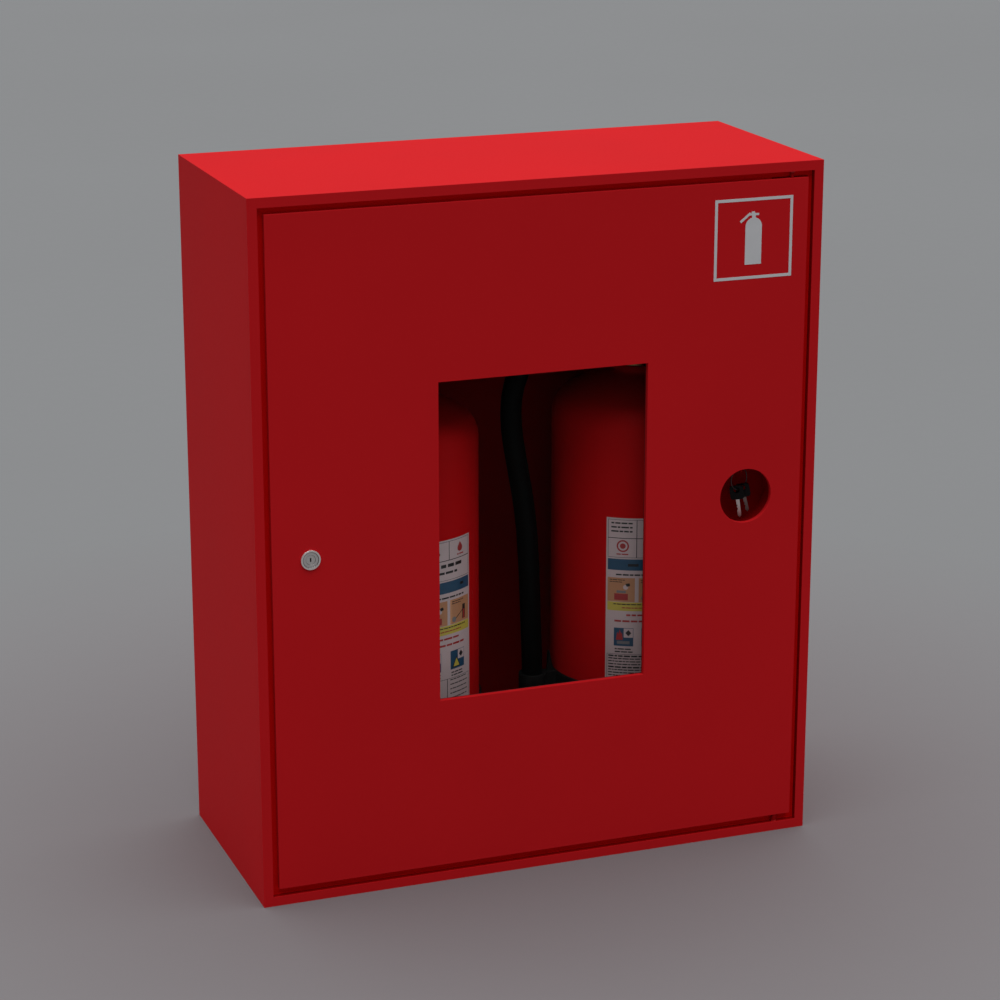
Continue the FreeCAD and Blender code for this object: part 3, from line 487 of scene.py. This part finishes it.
# The second key's darker steel is painted shade.
for key, metal in (("key_a", nickel), ("key_b", shaded_key_steel)):
    wear(soften(f"{key}_bow", 0.0005), bow_plastic)
    wear(soften(f"{key}_blade", 0.00015), metal)
work = bmesh.new()
loops = []
for step in range(RING_STEPS):
    turn = 2 * pi * step / RING_STEPS
    loop = []
    for part in range(WIRE_STEPS):
        roll = 2 * pi * part / WIRE_STEPS
        out = RING_RADIUS + RING_WIRE * cos(roll)
        spot = Vector((out * cos(turn), RING_WIRE * sin(roll), out * sin(turn)))
        loop.append(work.verts.new(RING_TURN @ spot + RING_CENTRE))
    loops.append(loop)
for step, near in enumerate(loops):
    far = loops[(step + 1) % RING_STEPS]
    for part in range(WIRE_STEPS):
        after = (part + 1) % WIRE_STEPS
        work.faces.new((near[part], near[after], far[after], far[part]))
ring = mesh_piece("key_ring_wire", work, "key_ring")
wear(ring, plated("dark spring steel", (0.10, 0.09, 0.09), 0.42))
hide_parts("key_ring")


# ---- Bottles.
# Each bottle is a drawn steel cylinder with a dished top, a welded neck and a rolled foot, in red
# gloss powder coat. The charge and the dip tube are sealed inside.
def arc(centre, radius, start, end, steps):
    """Points on an arc, angles in degrees from the outward horizontal."""
    return [
        (
            centre[0] + radius * cos(radians(start + (end - start) * step / steps)),
            centre[1] + radius * sin(radians(start + (end - start) * step / steps)),
        )
        for step in range(steps + 1)
    ]


BOTTLE_RADIUS, SHOULDER, KNUCKLE, CROWN = 80, 396.8, 29, 121
NECK, NECK_TOP, MOUTH = 22, 446, 14
FOOT_BEND, RIDGE_OUT = 3, 0.5
knuckle_centre = (BOTTLE_RADIUS - KNUCKLE, SHOULDER)
crown_centre = (0, SHOULDER - sqrt((CROWN - KNUCKLE) ** 2 - knuckle_centre[0] ** 2))
dish_angle = degrees(atan2(SHOULDER - crown_centre[1], knuckle_centre[0]))
neck_angle = degrees(acos(NECK / CROWN))
neck_foot = crown_centre[1] + CROWN * sin(radians(neck_angle))
bottle_shape = [
    (0, 16),
    (60, 9),
    (66, 6.5),
    (69.4, 1.4),
    (70.6, 0.2),
    (73.4, 0.2),
    (75, 1.2),
    (79.4, 6.8),
    *arc((BOTTLE_RADIUS - FOOT_BEND, 10), FOOT_BEND, -20, 0, 4),
    (BOTTLE_RADIUS, 30),
    (BOTTLE_RADIUS + RIDGE_OUT, 32),
    (BOTTLE_RADIUS + RIDGE_OUT, 34),
    (BOTTLE_RADIUS, 36),
    (BOTTLE_RADIUS, 120),
    (BOTTLE_RADIUS, 260),
    *arc(knuckle_centre, KNUCKLE, 0, dish_angle, 14),
    *arc(crown_centre, CROWN, dish_angle, neck_angle - 2, 12)[1:],
    (NECK + 1.4, neck_foot + 0.4),
    (NECK, neck_foot + 1.8),
    (NECK, NECK_TOP - 1),
    (NECK - 1, NECK_TOP),
    (MOUTH, NECK_TOP),
]
bottle_red = powder_coat("red gloss powder coat", (0.57, 0.0055, 0.0075), 0.38, 0.25)
charge = moulded("dry powder", (0.70, 0.69, 0.60), 0.85)
tube = moulded("dip tube plastic", (0.65, 0.65, 0.62), 0.4)
for side, bottle_x in BOTTLE_X.items():
    bottle = turned(
        f"{side}_bottle_shell",
        bottle_shape,
        Vector((bottle_x, 0, FLOOR_UP)),
        f"{side}_extinguisher",
        steps=128,
    )
    wear(bottle, bottle_red)
    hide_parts(f"{side}_bottle")
    wear(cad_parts[f"{side}_powder_charge"], charge)
    wear(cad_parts[f"{side}_dip_tube"], tube)

# ---- Printed labels.
# A glossy film sheet stuck round the front of each bottle: boxes, bands and small pictures. The
# print is rows of plain bars, with no words in it.
INKS = {
    "paper": (0.62, 0.505, 0.515),
    "black": (0.012, 0.011, 0.012),
    "blue": (0.016, 0.078, 0.155),
    "tan": (0.54, 0.26, 0.13),
    "yellow": (0.60, 0.50, 0.08),
    "red": (0.40, 0.03, 0.03),
    "grey": (0.20, 0.20, 0.21),
}
INK_ORDER = list(INKS)
LABEL_HALF, LABEL_TALL, MARGIN = 58.8, 160.0, 1.6
LABEL_RADIUS, LABEL_FOOT = 80.3, 155.3
COLUMN = 30
INK_LIFT = 0.03
BOX_LINE = 0.35
DISC_STEPS = 24
FLAME = ((2, 120), (3.2, 112), (4.4, 114.5), (5.4, 109.5), (7, 114), (7.8, 112.4), (8.6, 120))
CUTS_EACH_WAY, CUT_PITCH = 20, 2.8
PRINT_SEED = 11
label_inks = [printed(f"label {name}", colour, 0.28) for name, colour in INKS.items()]


class Artwork:
    """Flat print, in millimetres across from the middle and down from the top, in layers."""

    def __init__(self):
        self.work = bmesh.new()

    def shape(self, ink, corners, layer=1):
        back = -layer * INK_LIFT
        spots = [self.work.verts.new((across, back, -down)) for across, down in corners]
        self.work.faces.new(spots).material_index = INK_ORDER.index(ink)

    def bar(self, ink, left, right, top, low, layer=1):
        self.shape(ink, ((left, top), (right, top), (right, low), (left, low)), layer)

    def disc(self, ink, across, down, radius, layer=1):
        last = 360 - 360 / DISC_STEPS
        self.shape(ink, arc((across, down), radius, 0, last, DISC_STEPS - 1), layer)

    def words(self, ink, left, right, down, tall, layer=1):
        """A row of short bars and gaps, as small print looks from afar."""
        here = left
        while here < right - 1.5 * tall:
            end = min(right, here + tall * random.uniform(1.6, 5.5))
            self.bar(ink, here, end, down, down + tall, layer)
            here = end + tall * 0.6

    def box(self, left, right, top, low):
        self.bar("black", left, right, top, top + BOX_LINE)
        self.bar("black", left, right, low - BOX_LINE, low)
        self.bar("black", left, left + BOX_LINE, top + BOX_LINE, low - BOX_LINE)
        self.bar("black", right - BOX_LINE, right, top + BOX_LINE, low - BOX_LINE)


def print_header(art, inner):
    """Two rows of boxes, with a small mark, a target and a few bold lines."""
    for left, right in ((-inner, -COLUMN), (-COLUMN, COLUMN), (COLUMN, inner)):
        art.box(left, right, 1.6, 19.6)
    for left, right in ((-inner, -COLUMN), (-COLUMN, inner)):
        art.box(left, right, 19.6, 38.6)
    for row in range(3):
        art.words("black", -inner + 3, -COLUMN - 4, 4.2 + 4 * row, 1.5)
    art.bar("red", -16, 16, 5.0, 8.2)
    art.words("black", -24, 24, 11.4, 2.4)
    art.disc("red", 44, 10.4, 3.4)
    art.shape("red", ((41, 9), (44, 4.4), (47, 9)), 2)
    art.words("red", 40, 49, 15.6, 1.3)
    art.disc("red", -43, 27.2, 5.9)
    art.disc("paper", -43, 27.2, 4.4, 2)
    art.disc("red", -43, 27.2, 2.7, 3)
    art.words("red", -49, -37, 34.6, 1.2)
    art.words("black", -24, 48, 23, 3.2)
    art.words("black", -18, 40, 30.2, 2.2)


def print_blue_band(art, inner):
    art.bar("blue", -inner, inner, 40, 51)
    art.words("black", -38, -28, 44.4, 2.6, 2)
    art.words("black", 44, 49, 43.6, 2.6, 2)
    art.words("black", -12, 14, 44.0, 2.8, 2)
    art.words("black", -inner + 8, inner - 8, 54.6, 1.5)


def print_pictures(art, inner):
    """Four tan pictures, by turns of a tray with smoke and of a bottle that sprays at a spot."""
    for place, left in enumerate((-inner, -27.6, 1.6, 30.8)):
        right = left + 26
        art.bar("tan", left, right, 58.4, 82)
        art.words("black", left + 2, right - 8, 60.2, 0.8, 2)
        art.words("black", left + 2, right - 12, 62.2, 0.8, 2)
        mid = (left + right) / 2
        if place % 2 == 0:
            smoke = ((mid + 4, 64.2), (mid + 8, 63.4), (mid + 8.6, 66.2), (mid + 5.4, 67))
            art.bar("red", mid - 6.4, mid + 6.6, 74, 80.4, 2)
            art.bar("grey", mid - 4.2, mid + 4.6, 71, 73.4, 2)
            art.disc("paper", mid + 4.4, 67.6, 2.4, 2)
            art.shape("black", smoke, 3)
        else:
            spray = ((mid - 6, 77), (mid + 3.6, 70.6), (mid + 3.6, 71.6), (mid - 6, 78))
            art.bar("black", mid + 3.4, mid + 7.4, 66, 79.8, 2)
            art.bar("red", mid + 4.2, mid + 6.6, 71, 79.8, 3)
            art.shape("black", spray, 2)
            art.disc("grey", mid - 8, 78, 2.6, 2)


def print_yellow_band(art, inner):
    art.bar("yellow", -inner, inner, 82.4, 91)
    art.words("black", -inner + 6, inner - 6, 84.0, 1.0, 2)
    art.words("red", -inner + 14, inner - 12, 87.4, 1.0, 2)
    art.words("red", -inner + 18, inner - 14, 94.2, 1.8)
    art.words("red", -inner + 7, inner - 5, 100.2, 1.9)


def print_signs(art):
    """Four blue signs with a white corner, by turns of a flame and of a triangle."""
    for place, left in enumerate((-50.5, -24.5, 1.5, 31)):
        art.bar("blue", left, left + 18.5, 108, 126)
        art.bar("paper", left + 9.4, left + 18.1, 108.4, 117.4, 2)
        mark = left + 13.75
        diamond = ((mark, 109.8), (mark + 2.8, 112.9), (mark, 116), (mark - 2.8, 112.9))
        art.shape("black", diamond, 3)
        if place % 2 == 0:
            art.shape("red", [(left + across, down) for across, down in FLAME], 2)
            art.bar("grey", left + 3, left + 15, 121, 124, 2)
        else:
            mid = left + 7.5
            art.shape("black", ((mid, 114.4), (mid + 5.2, 124.4), (mid - 5.2, 124.4)), 2)
            art.shape("yellow", ((mid, 115.8), (mid + 4.0, 123.7), (mid - 4.0, 123.7)), 3)
        art.words("black", left + 1, left + 18, 128.4, 1.2)
        art.words("black", left + 1, left + 18, 131.2, 1.2)


def print_small_rows(art, inner):
    for row in range(8):
        bold = 1.5 if row % 4 == 0 else 1.1
        art.words("black", -inner + 1.5, 4, 135.4 + 2.8 * row, bold)
    for row in range(5):
        art.words("black", COLUMN + 0.5, inner - 3, 135.4 + 4.4 * row, 1.0)
    art.box(-inner, COLUMN - 3, 134.2, 158.6)
    art.box(COLUMN - 3, inner, 134.2, 158.6)


def label_artwork():
    art = Artwork()
    inner = LABEL_HALF - MARGIN
    art.bar("paper", -LABEL_HALF, LABEL_HALF, 0, LABEL_TALL, 0)
    print_header(art, inner)
    print_blue_band(art, inner)
    print_pictures(art, inner)
    print_yellow_band(art, inner)
    print_signs(art)
    print_small_rows(art, inner)
    return art.work


random.seed(PRINT_SEED)
for side, bottle_x in BOTTLE_X.items():
    work = label_artwork()
    for cut in range(-CUTS_EACH_WAY, CUTS_EACH_WAY + 1):
        bmesh.ops.bisect_plane(
            work,
            geom=[*work.verts, *work.edges, *work.faces],
            plane_co=(cut * CUT_PITCH, 0, 0),
            plane_no=(1, 0, 0),
        )
    for spot in work.verts:
        turn = spot.co.x / LABEL_RADIUS
        out = (LABEL_RADIUS - spot.co.y) * 0.001
        high = FLOOR_UP + (LABEL_FOOT + LABEL_TALL + spot.co.z) * 0.001
        spot.co = (bottle_x + out * sin(turn), -out * cos(turn), high)
    body = f"{side}_extinguisher"
    label = mesh_piece(f"{side}_printed_label", work, body)
    for ink in label_inks:
        label.data.materials.append(ink.material)
    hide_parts(f"{side}_label")

# ---- Belts.
# A black rubber strap round each bottle, moulded with the clasp that holds the hose, and a tail to
# pull the strap by.
TAIL_OUTLINE = ((0, -4), (5.5, -4), (5.6, 3), (3.2, 14), (2.2, 20), (1.2, 20), (0.4, 10))
TAIL_HALF, TAIL_OUT, BELT_TOP = 2.2, 0.0895, 0.149
strap = rubber("strap rubber", (0.006, 0.006, 0.006), 0.5)
for side, bottle_x in BOTTLE_X.items():
    body = f"{side}_extinguisher"
    wear(soften(f"{side}_belt", 0.0005), strap)
    work = bmesh.new()
    rows = []
    for near in (-TAIL_HALF, TAIL_HALF):
        root = Vector((bottle_x - TAIL_OUT, near * 0.001, BELT_TOP))
        rows.append([
            work.verts.new(root + 0.001 * Vector((across, 0, up))) for across, up in TAIL_OUTLINE
        ])
    front, back = rows
    work.faces.new(front)
    work.faces.new(back)
    for step in range(len(TAIL_OUTLINE)):
        after = (step + 1) % len(TAIL_OUTLINE)
        work.faces.new((front[step], front[after], back[after], back[step]))
    tail = mesh_piece(f"{side}_belt_tail", work, body, smooth=False)
    round_off = tail.modifiers.new("soft edges", "BEVEL")
    round_off.width = 0.0006
    round_off.segments = 3
    wear(tail, strap)

# ---- Valves.
# A machined brass valve screwed into the neck, with a swaged hose sleeve, a plated stem under the
# lever, a wire safety pin, and a handle and lever pressed from steel and coated black.
brass = plated("machined brass", (0.46, 0.32, 0.14), 0.26)
black_steel = powder_coat("black powder coat", (0.012, 0.012, 0.013), 0.40)
for side in BOTTLE_X:
    wear(soften(f"{side}_valve_body", 0.0005), brass)
    wear(soften(f"{side}_hose_coupling", 0.0005), zinc)
    wear(soften(f"{side}_lever_rivet", 0.0003), zinc)
    wear(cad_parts[f"{side}_valve_stem"], nickel)
    wear(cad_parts[f"{side}_safety_pin"], zinc)
    wear(soften(f"{side}_carry_handle", 0.0003), black_steel)
    wear(soften(f"{side}_lever", 0.0003), black_steel)

# ---- Pressure gauges.
# A small nickel-plated can screwed into the valve, with a printed dial: a green field between two
# red ones, a needle, and a clear lens pressed into the rim.
dial_inks = {
    "red": printed("dial red", (0.50, 0.02, 0.02)),
    "green": printed("dial green", (0.03, 0.30, 0.06)),
    "black": printed("dial black", (0.02, 0.02, 0.02)),
}
lens = Finish("gauge lens", Roughness=0.04, Base_Color=(0.05, 0.05, 0.05))
lens.vary(Alpha=0.10 + 0.04 * lens.noise(300, 2))
GAUGE_UP, DIAL_BACK = 0.484, 0.0314
FIELD_IN, FIELD_OUT, FIELD_STEPS = 7.2, 10.6, 10
FIELDS = (("red", 200, 245), ("green", 245, 295), ("red", 295, 340))
NEEDLE, NEEDLE_LIFT = ((-0.5, -2.5), (0.5, -2.5), (0.2, 9), (-0.2, 9)), 0.25
DIAL_SLOTS = list(dial_inks)


def dial_face(work, ink, middle, spots):
    """A flat face on the dial, from spots in millimetres across, out and up from its middle."""
    corners = [work.verts.new(middle + 0.001 * Vector(spot)) for spot in spots]
    work.faces.new(corners).material_index = DIAL_SLOTS.index(ink)


for side, bottle_x in BOTTLE_X.items():
    wear(soften(f"{side}_gauge", 0.0004), nickel)
    wear(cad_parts[f"{side}_gauge_lens"], lens)
    middle = Vector((bottle_x, -DIAL_BACK, FLOOR_UP + GAUGE_UP))
    work = bmesh.new()
    for ink, start, end in FIELDS:
        for step in range(FIELD_STEPS):
            first, last = (
                radians(start + (end - start) * (step + more) / FIELD_STEPS + 90) for more in (0, 1)
            )
            corners = ((FIELD_IN, first), (FIELD_OUT, first), (FIELD_OUT, last), (FIELD_IN, last))
            spots = [(out * -sin(turn), 0, out * -cos(turn)) for out, turn in corners]
            dial_face(work, ink, middle, spots)
    dial_face(work, "black", middle, [(across, -NEEDLE_LIFT, up) for across, up in NEEDLE])
    name, body = f"{side}_gauge_dial_print", f"{side}_extinguisher"
    dial = mesh_piece(name, work, body, smooth=False)
    for ink in dial_inks.values():
        dial.data.materials.append(ink.material)
